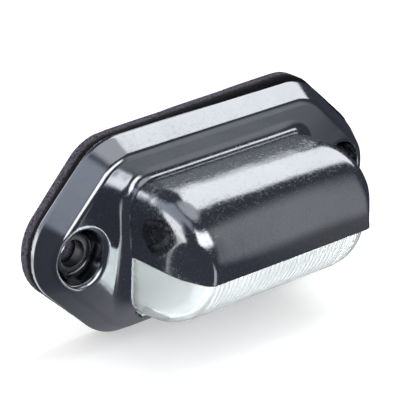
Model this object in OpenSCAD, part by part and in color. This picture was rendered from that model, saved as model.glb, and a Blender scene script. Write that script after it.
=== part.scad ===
// Number plate lamp with a chromed sheet steel housing. A hood is drawn up from a
// six-sided base cup, and a clear fluted lens looks down from under the hood.
// X runs along the lamp, Y points back into the panel, Z is up.
// The origin is the middle of the mounting face, and depths are counted forwards
// from that face, towards minus Y.

/* [Base cup] */
// Overall length across the rounded tips
base_len = 83.2; // [80:0.1:90]
// Overall height of the rim
base_h = 40.2; // [39:0.1:46]
// Radius of the six corners of the rim, seen from the front
corner_r = 11; // [9:0.5:12]
// Slope of the ends, from the length of the lamp
end_angle = 45; // [42:1:50]
// Depth of the cup, from its rim to its flat face
cup_depth = 5.6; // [5.4:0.1:7]
// How far the side wall leans in between rim and face
wall_lean = 2; // [1.6:0.1:2.1]
// Straight band at the rim before the wall leans in
rim_band = 1.1; // [1:0.1:1.6]
// Rounding between the side wall and the face
edge_r = 1.6; // [1:0.1:1.7]
// Thickness of the steel sheet
sheet_t = 0.8; // [0.6:0.05:1]

/* [Screw pits] */
// Distance from a tip of the rim to the middle of its screw hole
hole_margin = 8.25; // [8:0.05:8.6]
// Radius of a pit at the face
pit_r = 5.6; // [5.2:0.1:6]
// Radius of the flat floor of a pit
pit_floor_r = 4.3; // [4.2:0.1:4.6]

/* [Hood] */
// Width of the hood
hood_w = 46; // [44:0.1:48]
// Height of the top of the hood above the middle
hood_top = 12.3; // [11:0.1:13]
// Depth of the front of the hood from the mounting face
hood_reach = 30.6; // [29:0.1:33]
// Radius between the top and the front of the hood
nose_r = 12; // [10:0.1:12.5]
// Radius between the top and the ends of the hood
hood_end_r = 4.5; // [3:0.1:6]
// Radius between the front and the ends of the hood
hood_side_r = 3.5; // [3:0.1:5]
// Distance of the hood's lower edge below the middle
lip_drop = 2.4; // [1:0.1:4]
// Concave radius at the foot of the hood
foot_r = 2; // [1:0.1:2.4]
// Height of the low collar beside the lens
collar_h = 1.6; // [0.8:0.1:3]
// Distance of the collar's lower end below the middle
collar_drop = 14; // [13:0.1:14.4]
// Radius at the lower end of the collar
collar_r = 3; // [2:0.1:4]

/* [Lens opening] */
// Distance of the opening's lower edge below the middle
window_drop = 16.6; // [16.2:0.1:16.8]
// Size of the slanted lower corners of the opening
window_corner = 2.5; // [1.5:0.1:4]

/* [Lens] */
// Wall of the lens
lens_wall = 1.8; // [1.2:0.1:2.4]
// Radius of the rounded lower front of the lens
lens_belly_r = 15.6; // [14:0.1:16]
// Distance of the underside of the lens below the middle
lens_drop = 14.75; // [14.2:0.05:15.2]
// Radius between the underside and the ends of the lens
lens_edge_r = 1.5; // [1:0.1:2.5]
// Thickness of the flange round the lens
flange_t = 1.5; // [1:0.1:1.8]
// Width of the flange at the ends and the top
flange_w = 2; // [1.6:0.1:2.6]
// Distance of the flange's lower edge below the middle
flange_drop = 16.9; // [16.8:0.05:17]
// Distance between two flutes
flute_pitch = 1.15; // [1:0.05:1.6]
// Height of a flute
flute_h = 0.25; // [0.1:0.05:0.3]
// Plain margin of the lens at each end
flute_margin = 1.2; // [0.6:0.1:2.4]

/* [Seal] */
// Thickness of the rubber seal under the lens flange
seal_t = 1; // [0.6:0.1:1.2]
// Distance of the seal's lower edge below the middle
seal_drop = 15.9; // [15.4:0.1:16]

/* [Gasket] */
// Thickness of the foam gasket
gasket_t = 3.2; // [2.6:0.1:5]
// Turn of the stuck-on gasket against the housing
gasket_turn = 1.5; // [-2:0.1:2]
// How much higher than the housing the gasket is stuck
gasket_lift = 0.6; // [0:0.1:1]
// Clearance of the gasket's holes round the eyelets, the grommet and the rivets
gasket_relief = 0.7; // [0.4:0.1:1]

/* [Base plate] */
// Thickness of the base plate
plate_t = 1; // [0.8:0.1:1.4]

/* [Eyelets] */
// Radius of the bore that a mounting screw passes through
screw_hole_r = 2.7; // [2.2:0.05:2.8]
// Wall of an eyelet
eyelet_wall = 0.4; // [0.3:0.05:0.5]
// Radius of an eyelet's two rims
eyelet_rim_r = 4; // [3.7:0.1:4.1]
// Thickness of an eyelet's two rims
eyelet_rim_t = 0.45; // [0.3:0.05:0.6]

/* [Bulb holder] */
// Depth of the bulb's axis from the mounting face
bulb_depth = 13.8; // [13.2:0.1:15]
// Height of the bulb's axis
bulb_z = 0.5; // [-1:0.1:1]
// Place of the bracket's upright along the lamp
bracket_x = 11; // [10:0.1:12]
// Thickness of the bracket
bracket_t = 0.8; // [0.6:0.1:1.2]
// Height of the bracket, along Z
bracket_h = 15; // [14.6:0.1:17]
// Length of the bracket's foot
foot_len = 9; // [8:0.1:10]
// Radius of the holder's barrel
holder_r = 6; // [5.8:0.1:6.4]
// Length of the holder's barrel
holder_len = 9; // [8.5:0.1:9.5]
// Length of barrel that passes through the bracket towards the bulb
holder_nose = 3; // [2.5:0.1:3.5]
// Radius of the holder's shoulder
shoulder_r = 7; // [6.8:0.1:7.4]
// Thickness of the holder's shoulder
shoulder_t = 1.2; // [0.8:0.1:1.6]
// Thickness of the holder's closed end
end_wall = 1.4; // [1:0.1:2]
// Thickness of the two contact blades
blade_t = 0.4; // [0.3:0.05:0.5]
// Width of the two contact blades
blade_w = 6.4; // [6:0.1:7]
// Distance from the holder's mouth to the blades
blade_inset = 1.5; // [1:0.1:2.5]
// Length of blade behind the holder
tail_len = 1.6; // [1:0.1:2]
// Width of the earth blade's arm to the bracket
arm_w = 3; // [2:0.1:4]
// Distance of that arm from the base plate
arm_lift = 1.4; // [1.2:0.1:1.8]
// Radius of a bracket rivet's shank
rivet_r = 1.5; // [1.2:0.1:1.8]
// Radius of a bracket rivet's head
rivet_head_r = 2.6; // [2.2:0.1:2.8]
// Height of a bracket rivet's head
rivet_head_h = 1; // [0.7:0.1:1.3]
// Height of a bracket rivet's closed end
rivet_end_h = 0.6; // [0.4:0.1:0.8]
// Radius of a bracket rivet's closed end
rivet_end_r = 2.2; // [1.9:0.1:2.4]
// Distance between the two bracket rivets
rivet_spacing = 9; // [8:0.1:9.5]

/* [Bulb] */
// Radius of the glass
glass_r = 4.8; // [4.4:0.1:5]
// Length of the round glass, without its flat foot
glass_len = 18; // [16:0.1:20]
// Thickness of the glass
glass_t = 0.6; // [0.4:0.1:0.8]
// Thickness of the glass above its foot
glass_end_t = 1; // [0.8:0.1:1.6]
// Width of the flat foot of the glass
foot_w = 9; // [8:0.1:9.2]
// Thickness of the flat foot of the glass
foot_t = 2.4; // [2:0.1:2.6]
// Length of the flat foot of the glass
pinch_len = 6; // [5:0.1:6.2]
// Radius of the lead wires
lead_r = 0.25; // [0.2:0.05:0.3]
// Distance between the two lead wires
lead_gap = 5; // [4:0.1:5.6]
// Length of lead wire inside the glass
lead_len = 9; // [7:0.1:11]
// Length of lead wire folded back beside the foot
fold_len = 4; // [3:0.1:4.6]
// Radius of the filament's coil
filament_r = 0.4; // [0.3:0.05:0.6]

/* [Grommet] */
// Place of the grommet along the lamp
grommet_x = -10; // [-12:0.1:-8]
// Radius of the opening for the lead
grommet_bore_r = 1.5; // [1.2:0.1:2]
// Radius of the grommet in the plate
grommet_waist_r = 3.2; // [2.8:0.1:3.6]
// Radius of the grommet's two lips
grommet_lip_r = 4.5; // [4:0.1:5]
// Thickness of the grommet's two lips
grommet_lip_t = 1; // [0.8:0.1:1.4]

/* [Fits] */
// Clearance between the hood's inside and the lens
lens_gap = 0.5; // [0.3:0.05:0.8]
// Clearance round the seal, the plate and the lens flange
loose_gap = 0.3; // [0.2:0.05:0.4]
// Clearance round eyelets, rivets and the holder
shank_gap = 0.1; // [0.05:0.05:0.2]
// Clearance between the bulb, its leads and the contacts
contact_gap = 0.08; // [0.05:0.01:0.12]

/* [Hidden] */
$fn = 96;
// Segments of the rounded parts that a hull wraps
hull_fn = 32;
// Overlap of pieces that are joined or cut
eps = 0.3;
// Depths of the layers, from the mounting face forwards
plate_front = gasket_t + plate_t;
face_depth = gasket_t + cup_depth;
face_back = face_depth - sheet_t;
pit_floor = plate_front + sheet_t;
flange_front = face_back - seal_t;
// Centres of the rim's corner arcs
tip_x = base_len / 2 - corner_r;
shoulder_z = base_h / 2 - corner_r;
shoulder_x = tip_x - shoulder_z / tan(end_angle);
corner_centres = concat(
    [for (sx = [-1, 1]) [sx * tip_x, 0]],
    [for (sx = [-1, 1], sz = [-1, 1]) [sx * shoulder_x, sz * shoulder_z]]);
hole_x = base_len / 2 - hole_margin;
// The lens fits inside the hood
lens_inset = sheet_t + lens_gap;
lens_half = hood_w / 2 - lens_inset;
lens_top = hood_top - lens_inset;
lens_front = hood_reach - lens_inset;
flute_span = 2 * (lens_half - flute_margin);
flute_count = floor(flute_span / flute_pitch);
flute_w = flute_pitch / 2;
// The bulb lies along X, with its foot in the holder
holder_mouth = bracket_x - holder_nose;
holder_end = holder_mouth + holder_len;
foot_end = holder_mouth + pinch_len;
blade_y = foot_t / 2 + 2 * lead_r + 2 * contact_gap;
slot_half = blade_y + blade_t + contact_gap;
filament_x = holder_mouth - lead_len;

// Moves to a depth from the mounting face, with local Z pointing forwards
module at_depth(depth) {
    translate([0, -depth, 0]) rotate([90, 0, 0]) children();
}

// Extrudes a side view, drawn as depth and height, across the lamp
module across(width) {
    rotate([90, 0, -90]) linear_extrude(height = width, center = true) children();
}

// Extrudes a top view, drawn as width and depth, from one height to another
module upright(low, high) {
    translate([0, 0, low]) mirror([0, 1, 0]) linear_extrude(height = high - low) children();
}

// Turns a body of revolution to lie along X, at the bulb's axis
module on_bulb_axis(x) {
    translate([x, -bulb_depth, bulb_z]) rotate([0, 90, 0]) children();
}

// Rectangle between two corners
module box2(x0, x1, y0, y1) {
    translate([x0, y0]) square([x1 - x0, y1 - y0]);
}

// Rectangle with two radii: one for the upper and one for the lower corners
module rounded_box2(half, y0, y1, r_low, r_high) {
    for (side = [-1, 1]) {
        translate([side * (half - r_low), y0 + r_low]) circle(r_low);
        translate([side * (half - r_high), y1 - r_high]) circle(r_high);
    }
    box2(-half + r_low, half - r_low, y0, y1);
    box2(-half + r_high, half - r_high, y0 + r_low, y1);
    box2(-half, half, y0 + r_low, y1 - r_high);
}

// Six-sided sheet with rounded corners, drawn smaller by an inset
module hexagon(inset) {
    hull() for (c = corner_centres) translate(c) circle(corner_r - inset, $fn = 2 * hull_fn);
}

// Disc with a rounded front edge, one per corner of the cup's face
module face_disc(r, edge) {
    rotate_extrude($fn = hull_fn) {
        translate([r - edge, 0]) intersection() {
            circle(edge, $fn = hull_fn);
            square(edge);
        }
        square([r - edge, edge]);
    }
}

// Block of the base cup, drawn smaller by an inset and longer at its back
module cup_block(inset, back) {
    edge = edge_r - inset / 2;
    hull() for (c = corner_centres) translate(c) {
        translate([0, 0, -back]) cylinder(h = rim_band + back, r = corner_r - inset, $fn = hull_fn);
        translate([0, 0, cup_depth - inset - edge]) face_disc(corner_r - wall_lean - inset, edge);
    }
}

// Side view of the hood
module hood_profile(inset, start) {
    nose = [hood_reach - nose_r, hood_top - nose_r];
    translate(nose) circle(nose_r - inset);
    box2(start, nose.x, -collar_drop + inset, hood_top - inset);
    box2(start, hood_reach - inset, -collar_drop + inset, nose.y);
}

// Block with a side view of its own, rounded at its ends seen from the front and from above
module rounded_block(half, low, high, start, front, r_low, r_high, r_side) {
    intersection() {
        across(2 * half + eps) children();
        at_depth(start) linear_extrude(height = front) rounded_box2(half, low, high, r_low, r_high);
        upright(low - eps, high + eps) difference() {
            rounded_box2(half, -front, front, r_side, r_side);
            box2(-2 * half, 2 * half, -2 * front, start);
        }
    }
}

// Solid hood, drawn smaller by an inset
module hood_block(inset, start) {
    rounded_block(hood_w / 2 - inset, inset - collar_drop, hood_top - inset, start, hood_reach - inset,
        collar_r - inset, hood_end_r - inset, hood_side_r - inset) hood_profile(inset, start);
}

// Section of the concave foot, outwards from the hood's wall and up from the face
module foot_section() {
    difference() {
        translate([-eps, -eps]) square(foot_r + eps);
        translate([foot_r, foot_r]) circle(foot_r);
    }
}

// One straight length of the foot, along local Y
module foot_strip(length) {
    rotate([90, 0, 180]) linear_extrude(height = length) mirror([1, 0]) foot_section();
}

// Quarter turn of the foot round a corner of the hood
module foot_turn(r) {
    rotate_extrude(angle = 90) translate([r, 0]) foot_section();
}

// Concave foot round the hood, down both sides and over the top
module hood_foot() {
    half = hood_w / 2;
    side_len = hood_top - hood_end_r + collar_drop - collar_r;
    at_depth(face_depth) {
        for (side = [0, 1]) mirror([side, 0, 0]) {
            translate([half, -collar_drop + collar_r, 0]) foot_strip(side_len);
            translate([half - hood_end_r, hood_top - hood_end_r, 0]) foot_turn(hood_end_r);
            translate([half - collar_r, -collar_drop + collar_r, 0]) rotate([0, 0, -90]) foot_turn(collar_r);
        }
        translate([-half + hood_end_r, hood_top, 0]) rotate([0, 0, 90]) mirror([0, 1, 0])
            foot_strip(2 * (half - hood_end_r));
    }
}

// The metal round a pit, seen as a cone from inside the cup
module pit_outside() {
    depth = face_depth - plate_front;
    for (side = [-1, 1]) translate([side * hole_x, -plate_front, 0]) rotate([90, 0, 0])
        cylinder(h = depth, r1 = pit_floor_r + sheet_t, r2 = pit_r + sheet_t);
}

// The hollow of a pit and the hole in its floor
module pit_inside() {
    depth = face_depth - pit_floor;
    grow = (pit_r - pit_floor_r) / depth;
    for (side = [-1, 1]) translate([side * hole_x, -pit_floor, 0]) rotate([90, 0, 0]) {
        cylinder(h = depth + eps, r1 = pit_floor_r, r2 = pit_r + grow * eps);
        translate([0, 0, -sheet_t - eps])
            cylinder(h = sheet_t + 2 * eps, r = screw_hole_r + eyelet_wall + shank_gap);
    }
}

// Opening in the face below the collar's middle, where the lens comes out
module window_cut() {
    half = hood_w / 2 - sheet_t;
    at_depth(plate_front + eps) linear_extrude(height = cup_depth + collar_h)
        polygon([[-half, -lip_drop], [-half, -window_drop + window_corner],
            [-half + window_corner, -window_drop], [half - window_corner, -window_drop],
            [half, -window_drop + window_corner], [half, -lip_drop]]);
}

// Everything below the hood's edge and in front of the collar is cut away
module lip_cut() {
    translate([-hood_w, -face_depth - collar_h - hood_reach, -base_h])
        cube([2 * hood_w, hood_reach, base_h - lip_drop]);
}

// Drawn, trimmed and chromed sheet: the base cup and the hood in one piece
module housing() color("silver") difference() {
    union() {
        difference() {
            at_depth(gasket_t) cup_block(0, 0);
            difference() {
                at_depth(gasket_t) cup_block(sheet_t, eps);
                pit_outside();
            }
        }
        hood_block(0, face_depth - sheet_t / 2);
        hood_foot();
    }
    hood_block(sheet_t, plate_front);
    window_cut();
    lip_cut();
    pit_inside();
}

// Side view of the lens body, drawn smaller by an inset
module lens_profile(inset, start) {
    nose = [hood_reach - nose_r, hood_top - nose_r];
    nose_in = nose_r - lens_inset - inset;
    belly = [lens_front - lens_belly_r, lens_belly_r - lens_drop];
    translate(nose) circle(nose_in);
    intersection() {
        translate(belly) circle(lens_belly_r - inset);
        box2(belly.x, lens_front - inset, -lens_drop + inset, belly.y);
    }
    box2(start, belly.x, -lens_drop + inset, lens_top - inset);
    box2(start, nose.x, belly.y - eps, lens_top - inset);
    box2(nose.x, lens_front - inset, belly.y - eps, nose.y + eps);
}

// Solid lens without its flange, drawn smaller by an inset
module lens_block(inset, start) {
    rounded_block(lens_half - inset, inset - lens_drop, lens_top - inset, start, lens_front - inset,
        max(lens_edge_r - inset, eps), max(hood_end_r - lens_inset - inset, eps),
        max(hood_side_r - lens_inset - inset, eps)) lens_profile(inset, start);
}

// Fine flutes that run down the front of the lens and back under its belly
module lens_flutes() {
    first = -(flute_count - 1) * flute_pitch / 2;
    start = lens_front - lens_belly_r;
    intersection() {
        lens_block(-flute_h, start - eps);
        for (i = [0 : flute_count - 1])
            translate([first + i * flute_pitch - flute_w / 2, -lens_front - eps, -lens_drop - eps])
                cube([flute_w, lens_front + eps - start, lens_drop + eps + hood_top - nose_r]);
    }
}

// Outline of the flange and of its seal, which ends higher up
module flange_outline(drop) {
    box2(-lens_half - flange_w, lens_half + flange_w, -drop, lens_top + flange_w);
}

// Clear moulded lens, open at its back, with a flange that is clamped in the cup
module lens() color([0.85, 0.95, 0.95, 0.6]) {
    difference() {
        union() {
            lens_block(0, plate_front);
            lens_flutes();
            at_depth(flange_front - flange_t) linear_extrude(height = flange_t)
                flange_outline(flange_drop);
        }
        lens_block(lens_wall, plate_front - eps);
    }
}

// Rubber ring between the lens flange and the inside of the face
module lens_seal() color("dimgray") {
    at_depth(flange_front) linear_extrude(height = seal_t) difference() {
        flange_outline(seal_drop);
        box2(-lens_half - loose_gap, lens_half + loose_gap, -lens_drop - loose_gap, lens_top + loose_gap);
    }
}

// Closed-cell foam gasket, stuck on a little high and a little turned
module base_gasket() color([0.2, 0.2, 0.23]) {
    cut = gasket_t + 2 * eps;
    at_depth(0) difference() {
        translate([0, gasket_lift, 0]) rotate([0, 0, gasket_turn])
            linear_extrude(height = gasket_t) hexagon(0);
        for (side = [-1, 1]) {
            translate([side * hole_x, 0, -eps]) cylinder(h = cut, r = screw_hole_r);
            translate([side * hole_x, 0, gasket_t - eyelet_rim_t - loose_gap])
                cylinder(h = cut, r = eyelet_rim_r + gasket_relief);
            translate([rivet_x(), bulb_z + side * rivet_spacing / 2, -eps])
                cylinder(h = cut, r = rivet_end_r + gasket_relief);
        }
        translate([grommet_x, 0, -eps]) cylinder(h = cut, r = grommet_lip_r + gasket_relief);
    }
}

// Flat steel plate that closes the cup and carries the bulb holder
module base_plate() color("gainsboro") {
    at_depth(gasket_t) difference() {
        linear_extrude(height = plate_t) hexagon(sheet_t + loose_gap);
        for (side = [-1, 1]) translate([side * hole_x, 0, -eps])
            cylinder(h = plate_t + 2 * eps, r = screw_hole_r + eyelet_wall + shank_gap);
        for (side = [-1, 1]) translate([rivet_x(), bulb_z + side * rivet_spacing / 2, -eps])
            cylinder(h = plate_t + 2 * eps, r = rivet_r + shank_gap);
        translate([grommet_x, 0, -eps]) cylinder(h = plate_t + 2 * eps, r = grommet_waist_r + shank_gap);
    }
}

// Hollow rivet round a screw hole, holding the housing and the plate together
module eyelet(side) {
    barrel = pit_floor - gasket_t + 2 * eyelet_rim_t;
    translate([side * hole_x, eyelet_rim_t - gasket_t, 0]) rotate([90, 0, 0]) difference() {
        union() {
            cylinder(h = barrel, r = screw_hole_r + eyelet_wall);
            cylinder(h = eyelet_rim_t, r = eyelet_rim_r);
            translate([0, 0, barrel - eyelet_rim_t]) cylinder(h = eyelet_rim_t, r = eyelet_rim_r);
        }
        translate([0, 0, -eps]) cylinder(h = barrel + 2 * eps, r = screw_hole_r);
    }
}

// Eyelet of the left screw hole
module eyelet_left() color("lightgray") eyelet(-1);

// Eyelet of the right screw hole
module eyelet_right() color("lightgray") eyelet(1);

// Place of the bracket rivets along the lamp
function rivet_x() = bracket_x - foot_len / 2;

// Bent steel bracket: a foot on the plate and an upright that holds the bulb holder
module socket_bracket() color("lightsteelblue") {
    reach = bulb_depth + shoulder_r;
    difference() {
        union() {
            translate([bracket_x, -reach, bulb_z - bracket_h / 2])
                cube([bracket_t, reach - plate_front, bracket_h]);
            translate([bracket_x - foot_len, -plate_front - bracket_t, bulb_z - bracket_h / 2])
                cube([foot_len + eps, bracket_t, bracket_h]);
        }
        on_bulb_axis(bracket_x - eps) cylinder(h = bracket_t + 2 * eps, r = holder_r + shank_gap);
        for (side = [-1, 1]) translate([rivet_x(), -plate_front + eps, bulb_z + side * rivet_spacing / 2])
            rotate([90, 0, 0]) cylinder(h = bracket_t + 2 * eps, r = rivet_r + shank_gap);
    }
}

// Rivet that holds the bracket on the plate
module bracket_rivet(side) {
    grip = plate_t + bracket_t;
    translate([rivet_x(), -gasket_t, bulb_z + side * rivet_spacing / 2]) rotate([90, 0, 0]) {
        cylinder(h = grip, r = rivet_r);
        translate([0, 0, -rivet_end_h]) cylinder(h = rivet_end_h, r = rivet_end_r);
        translate([0, 0, grip]) cylinder(h = rivet_head_h, r = rivet_head_r);
    }
}

// Upper rivet of the bracket
module bracket_rivet_upper() color("lightgray") bracket_rivet(1);

// Lower rivet of the bracket
module bracket_rivet_lower() color("lightgray") bracket_rivet(-1);

// Moulded holder that grips the bulb's foot between two contact blades
module socket_body() color("ivory") {
    difference() {
        union() {
            on_bulb_axis(holder_mouth) cylinder(h = holder_len, r = holder_r);
            on_bulb_axis(bracket_x + bracket_t) cylinder(h = shoulder_t, r = shoulder_r);
        }
        translate([holder_mouth - eps, -bulb_depth - slot_half, bulb_z - foot_w / 2 - contact_gap])
            cube([holder_len - end_wall + eps, 2 * slot_half, foot_w + 2 * contact_gap]);
        for (side = [-1, 1]) translate([holder_mouth, 0, 0]) blade_box(side, holder_len + eps, contact_gap);
    }
}

// Room of one contact blade along the bulb's foot, grown by a gap
module blade_box(side, length, gap) {
    y = side > 0 ? blade_y : -blade_y - blade_t;
    translate([0, -bulb_depth + y - gap, bulb_z - blade_w / 2 - gap])
        cube([length, blade_t + 2 * gap, blade_w + 2 * gap]);
}

// Springy contact blade with its tail behind the holder
module contact_blade(side) {
    translate([holder_mouth + blade_inset, 0, 0]) blade_box(side, holder_len - blade_inset + tail_len, 0);
}

// Blade that the live lead joins
module live_contact() color("goldenrod") contact_blade(-1);

// Blade whose tail is bent down and back to the bracket, which earths it
module earth_contact() color("goldenrod") {
    arm_start = bracket_x + bracket_t;
    arm_end = holder_end + tail_len;
    arm_depth = plate_front + arm_lift;
    contact_blade(1);
    translate([arm_end - blade_t, blade_y - bulb_depth, bulb_z - arm_w / 2])
        cube([blade_t, bulb_depth - blade_y - arm_depth, arm_w]);
    translate([arm_start, -arm_depth - blade_t, bulb_z - arm_w / 2])
        cube([arm_end - arm_start, blade_t, arm_w]);
}

// Bores and side grooves of the glass foot for the two lead wires
module lead_path(side, r) {
    z = bulb_z + side * lead_gap / 2;
    translate([filament_x, -bulb_depth, z]) rotate([0, 90, 0])
        cylinder(h = lead_len + pinch_len + r, r = r);
}

// Clear wedge-foot glass of the bulb
module bulb_glass() color([0.9, 0.95, 1, 0.5]) {
    dome_x = holder_mouth - glass_len + glass_r;
    difference() {
        union() {
            on_bulb_axis(dome_x) cylinder(h = glass_len - glass_r, r = glass_r);
            on_bulb_axis(dome_x) sphere(glass_r);
            translate([holder_mouth - eps, -bulb_depth - foot_t / 2, bulb_z - foot_w / 2])
                cube([pinch_len + eps, foot_t, foot_w]);
        }
        on_bulb_axis(dome_x) cylinder(h = glass_len - glass_r - glass_end_t, r = glass_r - glass_t);
        on_bulb_axis(dome_x) sphere(glass_r - glass_t);
        for (side = [-1, 1]) lead_path(side, lead_r + contact_gap);
    }
}

// Tungsten filament between the ends of the two lead wires
module bulb_filament() color("gray") {
    reach = lead_gap / 2 - lead_r;
    translate([filament_x, -bulb_depth, bulb_z - reach]) cylinder(h = 2 * reach, r = filament_r);
}

// Lead wire: up through the glass foot to the filament, and folded back beside the foot
module bulb_lead(side) {
    z = bulb_z + side * lead_gap / 2;
    fold_y = foot_t / 2 + lead_r + contact_gap;
    lead_path(side, lead_r);
    translate([foot_end + lead_r, -bulb_depth, z]) rotate([side * 90, 0, 0])
        cylinder(h = fold_y, r = lead_r);
    translate([foot_end + lead_r - fold_len, -bulb_depth - side * fold_y, z]) rotate([0, 90, 0])
        cylinder(h = fold_len, r = lead_r);
}

// Lead wire on the live side
module bulb_lead_live() color("silver") bulb_lead(1);

// Lead wire on the earth side
module bulb_lead_earth() color("silver") bulb_lead(-1);

// Rubber grommet in the base plate, where the lead comes in
module grommet() color("black") {
    height = plate_t + 2 * grommet_lip_t;
    translate([grommet_x, grommet_lip_t - gasket_t, 0]) rotate([90, 0, 0]) difference() {
        union() {
            cylinder(h = height, r = grommet_waist_r);
            cylinder(h = grommet_lip_t, r = grommet_lip_r);
            translate([0, 0, height - grommet_lip_t]) cylinder(h = grommet_lip_t, r = grommet_lip_r);
        }
        translate([0, 0, -eps]) cylinder(h = height + 2 * eps, r = grommet_bore_r);
    }
}

housing();
lens();
lens_seal();
base_gasket();
base_plate();
eyelet_left();
eyelet_right();
socket_bracket();
bracket_rivet_upper();
bracket_rivet_lower();
socket_body();
live_contact();
earth_contact();
bulb_glass();
bulb_filament();
bulb_lead_live();
bulb_lead_earth();
grommet();
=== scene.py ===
"""Looks of a small number plate lamp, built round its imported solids.

The housing is a thin drawn sheet, so its skin is taken from a distance field: cup, hood, foot and pits
are blended there with true radii, and the trimmed edges come out rounded as plated edges are. The lens
and the gasket are made the same way, the eyelets are turned, and the other solids keep their shapes.
All sizes are in millimetres until a mesh is made, and depths are counted forwards from the mounting
face, towards minus Y.
"""

from __future__ import annotations

import logging
import math
from dataclasses import dataclass, field
from enum import Enum
from typing import Callable, Iterable, Sequence

import bmesh
import bpy
import numpy as np
from mathutils import Matrix, Vector


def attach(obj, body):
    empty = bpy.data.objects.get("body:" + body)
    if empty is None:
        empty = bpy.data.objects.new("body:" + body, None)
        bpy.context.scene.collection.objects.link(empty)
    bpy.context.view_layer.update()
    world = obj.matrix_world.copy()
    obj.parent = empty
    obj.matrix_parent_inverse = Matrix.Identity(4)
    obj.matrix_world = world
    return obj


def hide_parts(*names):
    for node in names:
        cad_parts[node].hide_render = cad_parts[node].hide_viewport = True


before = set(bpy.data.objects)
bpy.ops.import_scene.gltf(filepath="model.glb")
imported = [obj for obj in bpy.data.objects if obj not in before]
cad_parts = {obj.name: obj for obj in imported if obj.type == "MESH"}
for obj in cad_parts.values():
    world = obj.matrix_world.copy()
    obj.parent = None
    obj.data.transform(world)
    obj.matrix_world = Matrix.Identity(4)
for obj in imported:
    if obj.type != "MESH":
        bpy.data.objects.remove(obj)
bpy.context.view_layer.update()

MM = 0.001
BODY = "root"
LOG = logging.getLogger("plate_lamp")
Triple = tuple[float, float, float]
Pair = tuple[float, float]
Array = np.ndarray
Field = Callable[[Array, Array, Array], Array]


# ---------------------------------------------------------------- finishes


class Sheet:
    """A small node sheet for one material, with short names for the nodes in use."""

    def __init__(self, name: str) -> None:
        """Starts an empty material with a Principled shader and an output.

        Args:
            name: Name of the material.
        """
        self.material = bpy.data.materials.new(name)
        self.material.use_nodes = True
        self.tree = self.material.node_tree
        self.tree.nodes.clear()
        self.output = self.tree.nodes.new("ShaderNodeOutputMaterial")
        self.shader = self.tree.nodes.new("ShaderNodeBsdfPrincipled")
        self.join(self.shader, "BSDF", self.output, "Surface")
        self.place = self.tree.nodes.new("ShaderNodeTexCoord")

    def join(self, source: bpy.types.Node, out: str, target: bpy.types.Node, into: str | int) -> None:
        """Links a socket of one node to a socket of another."""
        self.tree.links.new(source.outputs[out], target.inputs[into])

    def set(self, **values: object) -> None:
        """Sets sockets of the shader, by name with underscores for blanks."""
        for key, value in values.items():
            self.shader.inputs[key.replace("_", " ")].default_value = value

    def noise(self, scale: float, detail: float = 2.0, rough: float = 0.5) -> bpy.types.Node:
        """Adds a noise texture in object space.

        Args:
            scale: Features per metre.
            detail: Octaves of noise.
            rough: Share of each further octave.

        Returns:
            The noise node.
        """
        node = self.tree.nodes.new("ShaderNodeTexNoise")
        node.inputs["Scale"].default_value = scale
        node.inputs["Detail"].default_value = detail
        node.inputs["Roughness"].default_value = rough
        self.join(self.place, "Object", node, "Vector")
        return node

    def ramp(self, source: bpy.types.Node, stops: Sequence[tuple[float, Sequence[float]]]) -> bpy.types.Node:
        """Adds a colour ramp.

        Args:
            source: Noise that drives the ramp.
            stops: Pairs of place and colour.

        Returns:
            The ramp node.
        """
        node = self.tree.nodes.new("ShaderNodeValToRGB")
        for mark, (place, colour) in zip(node.color_ramp.elements, stops):
            mark.position = place
            mark.color = (*colour, 1.0)
        self.join(source, "Fac", node, "Fac")
        return node

    def scaled(self, source: bpy.types.Node, name: str) -> bpy.types.Node:
        """Multiplies a colour by a number that is stored at the points.

        Args:
            source: Node with the colour.
            name: Name of the stored number.

        Returns:
            The node with the product, as its vector.
        """
        node = self.tree.nodes.new("ShaderNodeVectorMath")
        node.operation = "SCALE"
        self.join(source, "Color", node, 0)
        self.join(self.stored(name), "Fac", node, "Scale")
        return node

    def stored(self, name: str) -> bpy.types.Node:
        """Adds a node that reads what is stored at the points under a name.

        Args:
            name: Name of the stored number or colour.

        Returns:
            The attribute node.
        """
        node = self.tree.nodes.new("ShaderNodeAttribute")
        node.attribute_name = name
        return node

    def spread(self, source: bpy.types.Node, low: float, high: float, used: Pair = (0, 1)) -> bpy.types.Node:
        """Maps a noise to a range.

        Args:
            source: The noise node.
            low: Result at the low end.
            high: Result at the high end.
            used: Values of the noise at the two ends.

        Returns:
            The range node.
        """
        node = self.tree.nodes.new("ShaderNodeMapRange")
        for name, value in zip(("From Min", "From Max", "To Min", "To Max"), (*used, low, high)):
            node.inputs[name].default_value = value
        self.join(source, "Fac", node, "Value")
        return node

    def bump(self, source: bpy.types.Node, depth: float,
             under: bpy.types.Node | None = None) -> bpy.types.Node:
        """Adds a bump whose depth is in metres.

        Args:
            source: Noise that gives the height.
            depth: Height of a full step, in metres.
            under: A bump that this one lies on.

        Returns:
            The bump node.
        """
        node = self.tree.nodes.new("ShaderNodeBump")
        node.inputs["Distance"].default_value = depth
        node.inputs["Strength"].default_value = 1.0
        self.join(source, "Fac", node, "Height")
        if under is not None:
            self.join(under, "Normal", node, "Normal")
        return node

    def sum(self, kind: str, *values: float | tuple[bpy.types.Node, str]) -> bpy.types.Node:
        """Adds a calculation.

        Args:
            kind: Its kind, such as MULTIPLY_ADD.
            values: Its values in order, each a number or a node and its socket.

        Returns:
            The node, with the result as its value.
        """
        node = self.tree.nodes.new("ShaderNodeMath")
        node.operation = kind
        for place, value in enumerate(values):
            if isinstance(value, tuple):
                self.join(*value, node, place)
            else:
                node.inputs[place].default_value = value
        return node


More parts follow.
